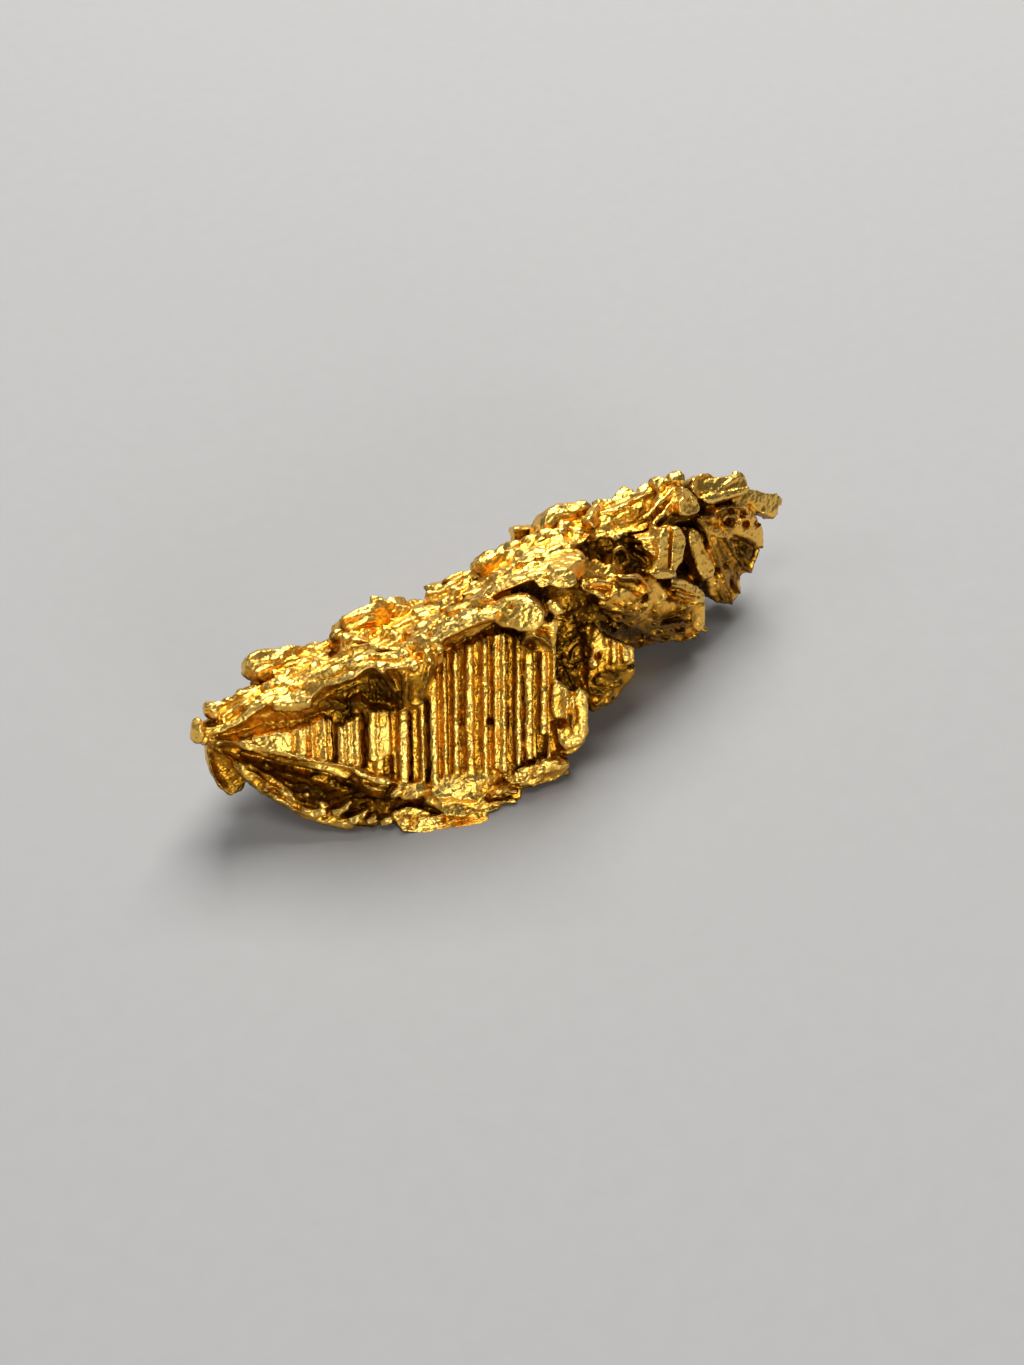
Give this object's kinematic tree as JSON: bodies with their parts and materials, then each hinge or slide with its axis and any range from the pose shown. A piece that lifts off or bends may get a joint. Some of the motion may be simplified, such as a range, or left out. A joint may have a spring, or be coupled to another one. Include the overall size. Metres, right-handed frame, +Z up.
{
  "type": "gold nugget",
  "caption": "Elongated native gold nugget with a fluted front panel, overhanging ledges, a hammered crest and a cluster of flat crystals at one end, lying on its belly.",
  "frame": {"origin": "under the middle of the nugget, on the surface it rests on", "axes": "+X along the nugget from the thin left tip to the crystal cluster, +Y to the back, +Z up"},
  "size_m": [0.0326, 0.012, 0.0099],
  "materials": {
    "native_gold": "rough native gold, satin on the flutes and hammered on the crest"
  },
  "bodies": {
    "root": {"nugget": "native_gold"}
  },
  "joints": []
}
